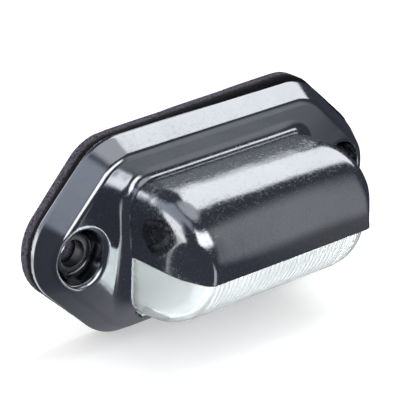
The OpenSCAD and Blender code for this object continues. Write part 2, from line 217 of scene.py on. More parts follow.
@dataclass(frozen=True)
class Metal:
    """A plated or bare metal finish. A drawn one shows how far its sheet was stretched."""

    name: str
    colour: Triple
    rough: Pair
    grain: float
    grain_depth: float
    wave_depth: float = 0.0
    drawn: bool = False
    tarnish: float = 0.94
    specks: float = 0.19
    speck_range: Pair = (0.5, 0.66)
    speck: float = 0.6
    patch: float = 20.0
    swell: float = 12.0

    def material(self) -> bpy.types.Material:
        """Builds the node material.

        Returns:
            The material.
        """
        sheet = Sheet(self.name)
        fine = sheet.noise(self.grain, 3.0, 0.6)
        dull = [c * self.tarnish for c in self.colour]
        tint = sheet.ramp(sheet.noise(self.grain / self.patch), [(0.3, dull), (0.7, self.colour)])
        rough = sheet.spread(fine, *self.rough)
        under = None
        if self.wave_depth:
            under = sheet.bump(sheet.noise(self.grain / self.swell, 1.0, 0.4), self.wave_depth)
        top = sheet.bump(fine, self.grain_depth, under)
        if self.drawn:
            self.draw(sheet, tint, rough, top)
        else:
            sheet.join(tint, "Color", sheet.shader, "Base Color")
            sheet.join(rough, "Result", sheet.shader, "Roughness")
        sheet.join(top, "Normal", sheet.shader, "Normal")
        sheet.set(Metallic=1.0)
        return sheet.material

    def draw(self, sheet: Sheet, tint: bpy.types.Node, rough: bpy.types.Node, top: bpy.types.Node) -> None:
        """Lets grain and dull specks grow with the stretch, and darkens the colour in the pits with painted
        shade.

        Args:
            sheet: Sheet of the material.
            tint: Node with the colour.
            rough: Node with the roughness.
            top: Node with the bump.
        """
        stretch = sheet.stored("stretch")
        coarse = sheet.noise(self.grain * self.speck, 4.0, 0.75)
        specks = sheet.spread(coarse, 0.0, self.specks, self.speck_range)
        worn = sheet.sum("MULTIPLY_ADD", (specks, "Result"), (stretch, "Fac"), (rough, "Result"))
        # painted shade: the chrome's colour is scaled down in the screw pits by a stored number
        sheet.join(sheet.scaled(tint, "painted_pit_shade"), "Vector", sheet.shader, "Base Color")
        sheet.join(stretch, "Fac", top, "Strength")
        sheet.join(worn, "Value", sheet.shader, "Roughness")


@dataclass(frozen=True)
class Rubber:
    """A matt rubber, foam or plastic finish with a fine grain. One with skin and shade is darkened by a
    stored number, partly for its dark skin and partly as painted shade.
    """

    name: str
    dark: Triple
    light: Triple
    grain: float
    grain_depth: float
    rough: float
    has_skin_and_shade: bool = False

    def material(self) -> bpy.types.Material:
        """Builds the node material.

        Returns:
            The material.
        """
        sheet = Sheet(self.name)
        fine = sheet.noise(self.grain, 3.0, 0.7)
        tint = sheet.ramp(fine, [(0.35, self.dark), (0.68, self.light)])
        if self.has_skin_and_shade:
            # partly dark skin, partly painted shade: the colour is scaled by a stored number
            sheet.join(sheet.scaled(tint, "cells"), "Vector", sheet.shader, "Base Color")
        else:
            sheet.join(tint, "Color", sheet.shader, "Base Color")
        sheet.join(sheet.bump(fine, self.grain_depth), "Normal", sheet.shader, "Normal")
        sheet.set(Roughness=self.rough)
        return sheet.material


@dataclass(frozen=True)
class Clear:
    """A clear plastic or glass finish, with a milky share where its clarity is below 1."""

    name: str
    colour: Triple
    index: float
    rough: float
    clarity: float = 1.0
    wave: float = 350.0
    wave_depth: float = 1.0e-5
    shade: float = 0.985

    def material(self) -> bpy.types.Material:
        """Builds the node material.

        Returns:
            The material.
        """
        sheet = Sheet(self.name)
        wave = sheet.noise(self.wave, 1.0, 0.4)
        dull = [c * self.shade for c in self.colour]
        tint = sheet.ramp(wave, [(0.3, dull), (0.7, self.colour)])
        sheet.join(tint, "Color", sheet.shader, "Base Color")
        sheet.join(sheet.bump(wave, self.wave_depth), "Normal", sheet.shader, "Normal")
        sheet.set(Transmission_Weight=self.clarity, IOR=self.index, Roughness=self.rough)
        return sheet.material


class Finish(Enum):
    """The finishes of the lamp."""

    CHROME = Metal("chrome_on_steel", (0.76, 0.78, 0.82), (0.07, 0.17), 2300.0, 1.1e-5, 2.2e-5, True)
    ZINC = Metal("zinc_on_steel", (0.62, 0.63, 0.64), (0.25, 0.4), 3000.0, 4.0e-6)
    # painted shade: the eyelet's colour is darkened far below nickel's, to stand for the shade deep in the
    # pits
    EYELET = Metal("nickel_darkened_as_pit_shade", (0.2, 0.2, 0.215), (0.26, 0.4), 3500.0, 3.0e-6)
    ALUMINIUM = Metal("bare_aluminium", (0.75, 0.76, 0.77), (0.3, 0.45), 3500.0, 4.0e-6)
    BRASS = Metal("sprung_brass", (0.78, 0.6, 0.28), (0.22, 0.36), 3500.0, 3.0e-6)
    WIRE = Metal("nickel_wire", (0.5, 0.5, 0.5), (0.3, 0.4), 6000.0, 2.0e-6)
    # the foam is darkened at its front: partly its dark skin, partly painted shade
    FOAM = Rubber("foam_rubber", (0.004, 0.004, 0.006), (0.125, 0.115, 0.155), 2400.0, 2.0e-4, 0.8, True)
    SEAL = Rubber("seal_rubber", (0.012, 0.012, 0.013), (0.03, 0.03, 0.032), 1500.0, 2.0e-5, 0.6)
    HOLDER = Rubber("holder_plastic", (0.66, 0.63, 0.54), (0.74, 0.71, 0.62), 900.0, 1.0e-5, 0.45)
    LENS = Clear("clear_plastic", (0.95, 1.0, 1.0), 1.49, 0.02, 0.72)
    GLASS = Clear("bulb_glass", (0.97, 0.985, 0.985), 1.47, 0.0)


_made: dict[Finish, bpy.types.Material] = {}


def dress(obj: bpy.types.Object, finish: Finish) -> None:
    """Gives an object one finish on all its faces.

    Args:
        obj: The object.
        finish: The finish.
    """
    if finish not in _made:
        _made[finish] = finish.value.material()
    obj.data.materials.clear()
    obj.data.materials.append(_made[finish])


# ---------------------------------------------------------------- mesh helpers


def add_mesh(name: str, points: Array, faces: Iterable[Sequence[int]],
             normals: Array | None = None) -> bpy.types.Object:
    """Makes a smooth mesh object.

    Args:
        name: Name of the piece.
        points: Corner points in millimetres, as x, y, z.
        faces: Corner numbers of each face.
        normals: Unit normals at the points, if they are known.

    Returns:
        The new object.
    """
    mesh = bpy.data.meshes.new(name)
    mesh.from_pydata((np.asarray(points) * MM).tolist(), [], [tuple(int(i) for i in f) for f in faces])
    mesh.polygons.foreach_set("use_smooth", [True] * len(mesh.polygons))
    mesh.update()
    if normals is not None:
        mesh.normals_split_custom_set_from_vertices(np.asarray(normals).tolist())
    obj = bpy.data.objects.new(name, mesh)
    bpy.context.scene.collection.objects.link(obj)
    return obj


def corners(obj: bpy.types.Object) -> Array:
    """Takes the corner points of a mesh.

    Args:
        obj: The object.

    Returns:
        One row of x, y and z for each point, in millimetres.
    """
    flat = np.empty(len(obj.data.vertices) * 3, dtype=np.float32)
    obj.data.vertices.foreach_get("co", flat)
    return flat.reshape(-1, 3) / MM


def store(obj: bpy.types.Object, name: str, values: Array) -> None:
    """Stores a colour or a number at each point of a mesh.

    Args:
        obj: The object.
        name: Name of the attribute.
        values: One value or colour for each point.
    """
    if values.ndim == 2:
        layer = obj.data.attributes.new(name, "FLOAT_COLOR", "POINT")
        colours = np.concatenate([values, np.ones((len(values), 1))], 1)
        layer.data.foreach_set("color", colours.astype(np.float32).ravel())
    else:
        layer = obj.data.attributes.new(name, "FLOAT", "POINT")
        layer.data.foreach_set("value", values.astype(np.float32))


def arc(middle: Pair, radius: float, start: float, turn: float) -> list[Pair]:
    """Points along an arc of an outline.

    Args:
        middle: Middle of the arc.
        radius: Its radius.
        start: Direction of its first point, in degrees.
        turn: Degrees from there to its last point.

    Returns:
        The points, ends included.
    """
    steps = 8
    angles = [math.radians(start + turn * k / steps) for k in range(steps + 1)]
    return [(middle[0] + radius * math.cos(a), middle[1] + radius * math.sin(a)) for a in angles]


def lathe(name: str, outline: Sequence[Pair], place: Sequence[float], axis: Sequence[float],
          steps: int) -> bpy.types.Object:
    """Turns an outline of radius and height round an axis.

    Args:
        name: Name of the piece.
        outline: Closed outline of radius and height.
        place: Foot of the axis.
        axis: Direction of the axis.
        steps: Number of columns.

    Returns:
        The new object.
    """
    turn = Vector((0, 0, 1)).rotation_difference(Vector(axis)).to_matrix()
    rows = len(outline)
    points = []
    faces = []
    for i in range(steps):
        angle = 2 * math.pi * i / steps
        for radius, height in outline:
            point = turn @ Vector((radius * math.cos(angle), radius * math.sin(angle), height))
            points.append(tuple(point + Vector(place)))
        j = (i + 1) % steps
        for k in range(rows):
            m = (k + 1) % rows
            faces.append((i * rows + k, j * rows + k, j * rows + m, i * rows + m))
    obj = add_mesh(name, np.array(points), faces)
    weld(obj)
    return obj


def weld(obj: bpy.types.Object, reach: float = 1e-6) -> None:
    """Joins points that coincide, drops faces without area and turns the faces outwards.

    Args:
        obj: The object.
        reach: Distance within which points are joined, in metres.
    """
    work = bmesh.new()
    work.from_mesh(obj.data)
    bmesh.ops.remove_doubles(work, verts=work.verts, dist=reach)
    bmesh.ops.dissolve_degenerate(work, edges=work.edges, dist=reach)
    bmesh.ops.recalc_face_normals(work, faces=work.faces)
    work.to_mesh(obj.data)
    work.free()


# ---------------------------------------------------------------- distance fields


def between(value: Array, start: float, end: float) -> Array:
    """Share of the way from a start to an end, from 0 to 1."""
    return np.clip((value - start) / (end - start), 0, 1)


def ease(value: Array, start: float, end: float) -> Array:
    """Share of the way from a start to an end, gentle at both."""
    share = between(value, start, end)
    return share * share * (3 - 2 * share)


def corner(a: Array, b: Array, radius: float | Array, cosine: float = 0.0) -> Array:
    """Distance to a rounded corner, where two half spaces meet.

    Args:
        a: Signed distance to the first plane.
        b: Signed distance to the second plane.
        radius: Radius of the corner.
        cosine: Cosine of the angle between the two normals.

    Returns:
        Signed distance to the rounded solid.
    """
    p, q = a + radius, b + radius
    past = np.sqrt(np.maximum(p * p + q * q - 2 * p * q * cosine, 0) / (1 - cosine * cosine))
    apex = (p > cosine * q) & (q > cosine * p)
    return np.where(apex, past, np.maximum(p, q)) - radius


def soft_corner(a: Array, b: Array, radius: float | Array, power: float = 2.6) -> Array:
    """Distance to a square corner whose curve starts gently, as drawn sheet does.

    Args:
        a: Signed distance to the first plane.
        b: Signed distance to the second plane.
        radius: Reach of the curve along each plane.
        power: Fullness of the curve, where 2 is a circle.

    Returns:
        Signed distance to the rounded solid.
    """
    p, q = np.maximum(a + radius, 0), np.maximum(b + radius, 0)
    past = (p ** power + q ** power) ** (1 / power)
    return np.where((p > 0) & (q > 0), past, np.maximum(a, b) + radius) - radius


def fillet(a: Array, b: Array, radius: float | Array) -> Array:
    """Distance to two joined solids, with a concave radius between them."""
    return -corner(-a, -b, radius)


def mix(ends: Pair, share: Array) -> Array:
    """Value at a share of the way between two ends."""
    return ends[0] + (ends[1] - ends[0]) * share


def slab(d: Array, back: float, front: float) -> Array:
    """Distance to a sheet between two depths."""
    return np.abs(d - (back + front) / 2) - (front - back) / 2


def grain(x: Array, d: Array, z: Array, cell: float, seed: int) -> Array:
    """Smooth random values from -1 to 1 on a grid of cells.

    Args:
        x: Places along the lamp.
        d: Depths.
        z: Heights.
        cell: Size of a cell.
        seed: Seed of the values.

    Returns:
        One value for each point.
    """
    size = 32
    values = np.random.default_rng(seed).uniform(-1, 1, (size, size, size))
    places = [np.asarray(c) / cell for c in (x, d, z)]
    starts = [np.floor(c).astype(int) for c in places]
    shares = [ease(c - f, 0, 1) for c, f in zip(places, starts)]
    total = 0.0
    for steps in np.ndindex(2, 2, 2):
        weight = 1.0
        for step, share in zip(steps, shares):
            weight = weight * (share if step else 1 - share)
        total = total + weight * values[tuple((start + step) % size for start, step in zip(starts, steps))]
    return total


def cross_points(value: Array, inside: Array) -> tuple[Array, Array]:
    """Adds up, for each cell, where the skin crosses its edges.

    Args:
        value: Signed distances on the grid.
        inside: Where they are negative.

    Returns:
        The sum of the crossings in each cell, and their number.
    """
    cells = [n - 1 for n in inside.shape]
    total = np.zeros((*cells, 3))
    count = np.zeros(cells)
    for axis in range(3):
        first = [slice(None)] * 3
        second = [slice(None)] * 3
        first[axis], second[axis] = slice(None, -1), slice(1, None)
        v0, v1 = value[tuple(first)], value[tuple(second)]
        cross = (v0 < 0) != (v1 < 0)
        share = np.where(cross, v0 / np.where(cross, v0 - v1, 1), 0)
        others = [i for i in range(3) if i != axis]
        for steps in np.ndindex(2, 2):
            cut = [slice(None)] * 3
            for other, step in zip(others, steps):
                cut[other] = slice(step, step + cells[other])
            hit, along = cross[tuple(cut)], share[tuple(cut)]
            count += hit
            total[..., axis] += np.where(hit, along, 0)
            for other, step in zip(others, steps):
                total[..., other] += hit * step
    return total, count


def surface_net(shape: Field, low: Sequence[float], high: Sequence[float],
                step: float) -> tuple[Array, Array]:
    """Takes the skin of a distance field as quads.

    Args:
        shape: Signed distance of x, depth and z.
        low: Lowest corner of the search.
        high: Highest corner of the search.
        step: Size of a cell.

    Returns:
        The points and the quads.
    """
    axes = [np.arange(low[i], high[i] + step, step) for i in range(3)]
    value = shape(*np.meshgrid(*axes, indexing="ij", sparse=True)) + np.zeros([len(a) for a in axes])
    inside = value < 0
    total, count = cross_points(value, inside)
    used = count > 0
    number = np.full(used.shape, -1)
    number[used] = np.arange(used.sum())
    base = np.stack(np.nonzero(used), -1)
    points = (total[used] / count[used][:, None] + base) * step + np.array([a[0] for a in axes])
    quads = []
    for axis in range(3):
        others = [i for i in range(3) if i != axis]
        start = [slice(1, -1)] * 3
        stop = [slice(1, -1)] * 3
        start[axis], stop[axis] = slice(None, -1), slice(1, None)
        s0, s1 = inside[tuple(start)], inside[tuple(stop)]
        place = np.stack(np.nonzero(s0 != s1), -1)
        place[:, others] += 1
        ring = []
        for steps in ((1, 1), (0, 1), (0, 0), (1, 0)):
            back = place.copy()
            back[:, others] -= steps
            ring.append(number[tuple(back.T)])
        quad = np.stack(ring, -1)
        leaves = s0[s0 != s1]
        turn = leaves if axis == 1 else ~leaves
        quad[turn] = quad[turn][:, ::-1]
        quads.append(quad)
    return points, np.concatenate(quads)


def gradient(shape: Field, points: Array, reach: float = 0.02) -> Array:
    """Slope of a distance field at points, by central differences.

    Args:
        shape: The distance field.
        points: The points.
        reach: Distance of the samples from each point.

    Returns:
        One slope for each point.
    """
    slope = np.zeros_like(points)
    for axis in range(3):
        ahead, behind = points.copy(), points.copy()
        ahead[:, axis] += reach
        behind[:, axis] -= reach
        slope[:, axis] = (shape(*ahead.T) - shape(*behind.T)) / (2 * reach)
    return slope


def settle(shape: Field, points: Array, rounds: int = 4, limit: float = 0.15) -> Array:
    """Moves points onto the skin of a distance field.

    Args:
        shape: The distance field.
        points: Points near its skin.
        rounds: Number of steps.
        limit: Longest step.

    Returns:
        The moved points.
    """
    for _ in range(rounds):
        slope = gradient(shape, points)
        size = np.maximum((slope ** 2).sum(1), 0.05)
        move = shape(*points.T)[:, None] * slope / size[:, None]
        length = np.linalg.norm(move, axis=1, keepdims=True)
        points = points - move * np.minimum(1, limit / np.maximum(length, 1e-9))
    return points


def skin(name: str, shape: Field, low: Sequence[float], high: Sequence[float],
         step: float) -> bpy.types.Object:
    """Builds a piece from a distance field, with the field's own normals.

    Args:
        name: Name of the piece.
        shape: Signed distance of x, depth and z.
        low: Lowest corner of the search.
        high: Highest corner of the search.
        step: Size of a cell.

    Returns:
        The new object.
    """
    points, quads = surface_net(shape, low, high, step)
    points = settle(shape, points)
    normal = gradient(shape, points)
    normal /= np.maximum(np.linalg.norm(normal, axis=1, keepdims=True), 1e-9)
    flip = np.array([1, -1, 1])
    return add_mesh(name, points * flip, quads[:, ::-1], normal * flip)


# ---------------------------------------------------------------- sub-assemblies


@dataclass
class Outline:
    """The six-sided outline that the cup, the plate and the gasket share."""

    tip_x: float = 30.6
    shoulder_x: float = 21.5
    shoulder_z: float = 9.1
    corner_r: float = 11.0

    def distance(self, x: Array, z: Array) -> Array:
        """Distance to the outline, seen from the front.

        Args:
            x: Places along the lamp.
            z: Heights.

        Returns:
            Signed distances.
        """
        px, pz = np.abs(x), np.abs(z)
        top = np.hypot(np.maximum(px - self.shoulder_x, 0), pz - self.shoulder_z)
        run = np.array([self.tip_x - self.shoulder_x, -self.shoulder_z])
        length = float(np.hypot(*run))
        run = run / length
        qx, qz = px - self.shoulder_x, pz - self.shoulder_z
        along = np.clip(qx * run[0] + qz * run[1], 0, length)
        slant = np.hypot(qx - along * run[0], qz - along * run[1])
        side = qx * -run[1] + qz * run[0]
        within = (pz < self.shoulder_z) & (side < 0)
        edge = np.minimum(top, slant)
        return np.where(within, -edge, edge) - self.corner_r


@dataclass
class Window:
    """The lens's opening in the face, with its two lower corners cut off."""

    half: float
    drop: float
    corner: float
    top: float

    def distance(self, x: Array, z: Array) -> Array:
        """Distance to the opening, seen from the front.

        Args:
            x: Places along the lamp.
            z: Heights.

        Returns:
            Signed distances.
        """
        slant = (np.abs(x) - self.half + self.corner - (z + self.drop)) / math.sqrt(2)
        plan = np.maximum(np.maximum(np.abs(x) - self.half, -self.drop - z), slant)
        return np.maximum(plan, z + self.top)


@dataclass
class Housing:
    """Drawn and chromed sheet: the base cup and the hood in one piece."""

    outline: Outline = field(default_factory=Outline)
    window: Window = field(default_factory=lambda: Window(22.2, 16.6, 2.5, 2.4))
    back: float = 3.2
    band_end: float = 4.3
    band_r: float = 1.0
    face: float = 8.8
    lean: float = 30.9
    edge_r: float = 1.6
    sheet: float = 0.8
    half: float = 23.0
    top: float = 12.3
    reach: float = 30.6
    nose_r: float = 12.0
    end_r: Pair = (6.4, 5.0)
    end_d: Pair = (14.0, 28.0)
    lip: float = 2.4
    foot_r: Pair = (2.0, 3.8)
    foot_z: Pair = (2.0, -10.0)
    collar: float = 1.6
    collar_drop: float = 14.0
    collar_r: float = 3.0
    hole_x: float = 33.35
    hole_r: float = 3.2
    pit_r: float = 5.6
    pit_floor: float = 5.0
    pit_floor_r: float = 4.3
    pit_root_r: float = 0.5
    pit_mouth_r: float = 0.9
    trim_r: float = 0.25
    wave: Pair = (0.02, 0.11)
    wave_x: Pair = (12.0, 18.0)
    wave_d: Pair = (10.5, 14.5)
    wave_cell: float = 5.5
    wave_seed: int = 7
    calm: float = 3.0
    drawn: Triple = (0.35, 0.5, 0.15)
    flat_d: Pair = (0.2, 0.7)
    # depths and strength of the painted shade down in the screw pits
    pit_shade_d: Pair = (0.2, 1.5)
    pit_shade_strength: float = 0.6
    step: float = 0.36

    def cup(self, x: Array, d: Array, z: Array) -> Array:
        """Distance to the solid base cup.

        Args:
            x: Places along the lamp.
            d: Depths.
            z: Heights.

        Returns:
            Signed distances.
        """
        edge = self.outline.distance(x, z)
        angle = math.radians(self.lean)
        wall = edge * math.cos(angle) + (d - self.band_end) * math.sin(angle)
        side = corner(wall, edge, self.band_r, math.cos(angle))
        return corner(side, d - self.face, self.edge_r, math.sin(angle))

    def hood(self, x: Array, d: Array, z: Array) -> Array:
        """Distance to the solid hood, down to the lower end of the collar.

        Args:
            x: Places along the lamp.
            d: Depths.
            z: Heights.

        Returns:
            Signed distances.
        """
        profile = corner(z - self.top, d - self.reach, self.nose_r)
        lower = corner(np.abs(x) - self.half, -self.collar_drop - z, self.collar_r)
        return soft_corner(profile, lower, mix(self.end_r, ease(d, *self.end_d)))

    def from_hole(self, x: Array, z: Array) -> Array:
        """Distance from the axis of the nearer screw hole."""
        return np.hypot(np.abs(x) - self.hole_x, z)

    def pits(self, x: Array, d: Array, z: Array) -> Array:
        """Distance to the hollow of the two screw pits.

        Args:
            x: Places along the lamp.
            d: Depths.
            z: Heights.

        Returns:
            Signed distances.
        """
        grow = (self.pit_r - self.pit_floor_r) / (self.face - self.pit_floor)
        wide = self.pit_floor_r + (d - self.pit_floor) * grow
        side = (self.from_hole(x, z) - wide) / math.hypot(1, grow)
        return corner(side, self.pit_floor - d, self.pit_root_r)

    def ripple(self, x: Array, d: Array, z: Array) -> Array:
        """Slight hollows that the drawing leaves in the sheet, most at the hood's ends.

        Args:
            x: Places along the lamp.
            d: Depths.
            z: Heights.

        Returns:
            Depth of the hollow at each place.
        """
        ends = between(np.abs(x), *self.wave_x) * between(d, *self.wave_d)
        calm = between(self.from_hole(x, z) - self.pit_r, 0, self.calm)
        return mix(self.wave, ends) * calm * (1 + grain(x, d, z, self.wave_cell, self.wave_seed))

    def solid(self, x: Array, d: Array, z: Array) -> Array:
        """Distance to the outside of the housing, as if it were solid.

        Args:
            x: Places along the lamp.
            d: Depths.
            z: Heights.

        Returns:
            Signed distances.
        """
        foot = mix(self.foot_r, between(z, *self.foot_z))
        body = fillet(self.cup(x, d, z), self.hood(x, d, z), foot) + self.ripple(x, d, z)
        return corner(body, -self.pits(x, d, z), self.pit_mouth_r)

    def trim(self, x: Array, d: Array, z: Array) -> Array:
        """Distance to everything that is cut away for the lens and the screws.

        Args:
            x: Places along the lamp.
            d: Depths.
            z: Heights.

        Returns:
            Signed distances.
        """
        below = corner(z + self.lip, self.face + self.collar - d, 0.0)
        hole = self.from_hole(x, z) - self.hole_r
        return np.minimum(np.minimum(below, self.window.distance(x, z)), hole)

    def distance(self, x: Array, d: Array, z: Array) -> Array:
        """Distance to the sheet itself.

        Args:
            x: Places along the lamp.
            d: Depths.
            z: Heights.

        Returns:
            Signed distances.
        """
        solid = self.solid(x, d, z)
        sheet = corner(solid, -(solid + self.sheet), 0.0)
        return corner(sheet, np.maximum(-self.trim(x, d, z), self.back - d), self.trim_r)

    def stretch(self, points: Array) -> Array:
        """How much the sheet was drawn at each point, up to 1 on the hood.

        Args:
            points: Points of the finished housing.

        Returns:
            One number for each point.
        """
        x, y, z = points.T
        pit, cup, flat = self.drawn
        face = between(np.abs(-y - self.face + self.flat_d[0]), self.flat_d[1], 0)
        drawn = np.where(-y < self.face, cup, 1.0) * (1 - (1 - flat) * face)
        return np.where(self.from_hole(x, z) < self.pit_r, pit, drawn)

    def painted_pit_shade(self, points: Array) -> Array:
        """Painted shade at each point: how far the colour is darkened down in the pits, where shade falls.

        Args:
            points: Points of the finished housing.

        Returns:
            One number for each point.
        """
        x, y, z = points.T
        within = between(self.from_hole(x, z) - self.pit_r, 1, 0)
        # painted shade: the colour gets darker down in the pits, standing in for the shade there
        return 1 - self.pit_shade_strength * within * between(y + self.face, *self.pit_shade_d)

    def build(self) -> bpy.types.Object:
        """Builds the housing and puts it in the node's place.

        Returns:
            The piece.
        """
        piece = skin("housing_shell", self.distance, (-42.4, 2.4, -20.9), (42.4, 31.4, 20.9), self.step)
        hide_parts("housing")
        store(piece, "stretch", self.stretch(corners(piece)))
        # painted shade for the pits is stored at the points
        store(piece, "painted_pit_shade", self.painted_pit_shade(corners(piece)))
        dress(piece, Finish.CHROME)
        return piece


@dataclass
class Lens:
    """Clear moulded lens: a hollow block with rounded ends, fine flutes and a flange behind the face."""

    half: float = 21.7
    top: float = 11.0
    drop: float = 14.75
    front: float = 29.3
    back: float = 4.2
    nose_r: float = 10.7
    belly_r: float = 15.6
    end_r: Pair = (1.6, 3.4)
    end_d: Pair = (12.0, 22.0)
    least_r: float = 0.6
    wall: float = 1.8
    rim_r: float = 0.25
    flange: tuple[float, float, float, float] = (23.7, 16.9, 13.0, 7.0)
    flange_t: float = 1.5
    flange_r: Triple = (0.4, 0.2, 0.4)
    pitch: float = 1.15
    flute: float = 0.25
    flute_x: Pair = (17.8, 17.3)
    flute_d: Pair = (12.9, 14.1)
    flute_z: Pair = (1.5, -0.5)
    flute_shape: Pair = (0.7, 0.35)
    rib_pitch: float = 1.7
    rib: float = 0.12
    rib_x: Pair = (18.6, 19.2)
    rib_slant: float = 0.35
    ledge: Window = field(default_factory=lambda: Window(21.95, 16.35, 2.5, 2.6))
    ledge_d: Pair = (8.0, 9.1)
    ledge_r: float = 0.3
    step: float = 0.29

    def block(self, x: Array, d: Array, z: Array, inset: float) -> Array:
        """Distance to the solid block, drawn smaller by an inset.

        Args:
            x: Places along the lamp.
            d: Depths.
            z: Heights.
            inset: Distance by which the block is smaller all round.

        Returns:
            Signed distances.
        """
        above = corner(z - self.top + inset, d - self.front + inset, self.nose_r - inset)
        below = corner(-self.drop + inset - z, d - self.front + inset, self.belly_r - inset)
        radius = np.maximum(mix(self.end_r, between(d, *self.end_d)) - inset, self.least_r)
        return corner(np.maximum(above, below), np.abs(x) - self.half + inset, radius)

    def flutes(self, x: Array, d: Array, z: Array) -> Array:
        """Height of the flutes, which run round the lens below the hood.

        Args:
            x: Places along the lamp.
            d: Depths.
            z: Heights.

        Returns:
            One height for each place.
        """
        low = between(z, *self.flute_z) * between(d, *self.flute_d)
        wave = 0.5 + 0.5 * np.cos(2 * math.pi * x / self.pitch)
        power, sunk = self.flute_shape
        return self.flute * low * between(np.abs(x), *self.flute_x) * (wave ** power - sunk)

    def ribs(self, x: Array, d: Array, z: Array) -> Array:
        """Depth of the faint ribs inside the lens's two ends.

        Args:
            x: Places along the lamp.
            d: Depths.
            z: Heights.

        Returns:
            One depth for each place.
        """
        rows = 0.5 + 0.5 * np.cos(2 * math.pi * (z + self.rib_slant * d) / self.rib_pitch)
        return self.rib * rows * between(np.abs(x), *self.rib_x)

    def distance(self, x: Array, d: Array, z: Array) -> Array:
        """Distance to the lens.

        Args:
            x: Places along the lamp.
            d: Depths.
            z: Heights.

        Returns:
            Signed distances.
        """
        outer = self.block(x, d, z, 0.0) - self.flutes(x, d, z)
        inner = self.block(x, d, z, self.wall) + self.ribs(x, d, z)
        ledge = corner(self.ledge.distance(x, z), slab(d, *self.ledge_d), self.ledge_r)
        body = np.minimum(np.maximum(outer, self.back - d), ledge)
        width, drop, rise, front = self.flange
        plan_r, edge_r, root_r = self.flange_r
        plate = corner(np.abs(x) - width, np.maximum(-drop - z, z - rise), plan_r)
        plate = corner(plate, slab(d, front - self.flange_t, front), edge_r)
        return corner(fillet(body, plate, root_r), -inner, self.rim_r)

    def build(self) -> bpy.types.Object:
        """Builds the lens.

        Returns:
            The piece.
        """
        piece = skin("clear_lens", self.distance, (-24.1, 3.9, -17.3), (24.1, 29.8, 13.4), self.step)
        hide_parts("lens")
        piece.visible_shadow = False
        dress(piece, Finish.LENS)
        return piece


@dataclass
class Gasket:
    """Die-cut foam gasket with a granular cut edge, darker towards its front partly for its dark skin and
    partly as painted shade next to the housing, stuck on a little turned.
    """

    outline: Outline = field(default_factory=Outline)
    thick: float = 3.2
    turn: float = 1.5
    lift: float = 0.6
    edge_r: float = 0.35
    hole_edge_r: float = 0.12
    shy: Pair = (0.12, 0.02)
    rough: float = 0.07
    lumps: tuple[tuple[float, float, int], ...] = ((1.0, 0.55, 11), (0.6, 0.8, 12))
    cut_slope: float = 0.625
    skin_and_shade_d: Pair = (1.75, 2.25)
    skin_and_shade_dark: float = 0.93
    hole_x: float = 33.35
    screw_r: float = 2.4
    step_r: float = 4.7
    step_depth: float = 2.45
    holes: tuple[Triple, ...] = ((-10.0, 0.0, 5.2), (6.5, 5.0, 2.9), (6.5, -4.0, 2.9))
    step: float = 0.4

    def distance(self, x: Array, d: Array, z: Array) -> Array:
        """Distance to the gasket without its grain.

        Args:
            x: Places along the lamp.
            d: Depths.
            z: Heights.

        Returns:
            Signed distances.
        """
        c, s = math.cos(math.radians(self.turn)), math.sin(math.radians(self.turn))
        across, rise = x * c + (z - self.lift) * s, -x * s + (z - self.lift) * c
        edge = self.outline.distance(across, rise) + self.shy[0]
        solid = corner(edge, slab(d, 0.0, self.thick) + self.shy[1], self.edge_r)
        screw = np.hypot(np.abs(x) - self.hole_x, z)
        holes = np.minimum(screw - self.screw_r, np.maximum(screw - self.step_r, self.step_depth - d))
        for hx, hz, radius in self.holes:
            holes = np.minimum(holes, np.hypot(x - hx, z - hz) - radius)
        return corner(solid, -holes, self.hole_edge_r)

    def build(self) -> bpy.types.Object:
        """Builds the gasket and roughens its cut edge.

        Returns:
            The piece.
        """
        piece = skin("foam_gasket", self.distance, (-43, -0.6, -22), (43, 3.8, 22.5), self.step)
        points = corners(piece)
        x, d, z = points[:, 0], -points[:, 1], points[:, 2]
        slope = gradient(self.distance, np.stack([x, d, z], -1))
        cut = between(np.abs(slope[:, 1]), self.cut_slope, 0)
        bite = sum(share * grain(x, d, z, cell, seed) for share, cell, seed in self.lumps) - 1
        points += slope * (bite * self.rough * cut)[:, None] * np.array([1, -1, 1])
        piece.data.vertices.foreach_set("co", (points * MM).astype(np.float32).ravel())
        piece.data.update()
        # partly the foam's dark skin, partly painted shade: the front of the gasket, next to the housing, is
        # darkened
        store(piece, "cells", 1 - self.skin_and_shade_dark * ease(d, *self.skin_and_shade_d))
        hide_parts("base_gasket")
        dress(piece, Finish.FOAM)
        return piece


@dataclass
class Eyelet:
    """Rolled eyelet through a screw pit and the base plate."""

    side: int
    node: str
    hole_x: float = 33.35
    bore_r: float = 2.7
    wall: float = 0.4
    rim_r: float = 4.0
    rim: float = 0.45
    mouth: float = 0.12
    front: float = 5.45
    back: float = 2.75
    crease: float = 50.0
    columns: int = 72

    def build(self) -> bpy.types.Object:
        """Turns the eyelet with a bell mouth and two curled rims.

        Returns:
            The piece.
        """
        curl = self.rim / 2
        lip, edge, neck = self.bore_r + self.mouth, self.rim_r - curl, self.bore_r + self.wall
        outline = arc((lip, self.front - self.mouth), self.mouth, 180, -90)
        outline += arc((edge, self.front - curl), curl, 90, -180)
        outline += [(neck, self.front - self.rim), (neck, self.back + self.rim)]
        outline += arc((edge, self.back + curl), curl, 90, -180)
        outline += arc((lip, self.back + self.mouth), self.mouth, 270, -90)
        place = (self.side * self.hole_x, 0, 0)
        piece = lathe(self.node + "_rolled", outline, place, (0, -1, 0), self.columns)
        piece.data.set_sharp_from_angle(angle=math.radians(self.crease))
        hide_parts(self.node)
        dress(piece, Finish.EYELET)
        return piece


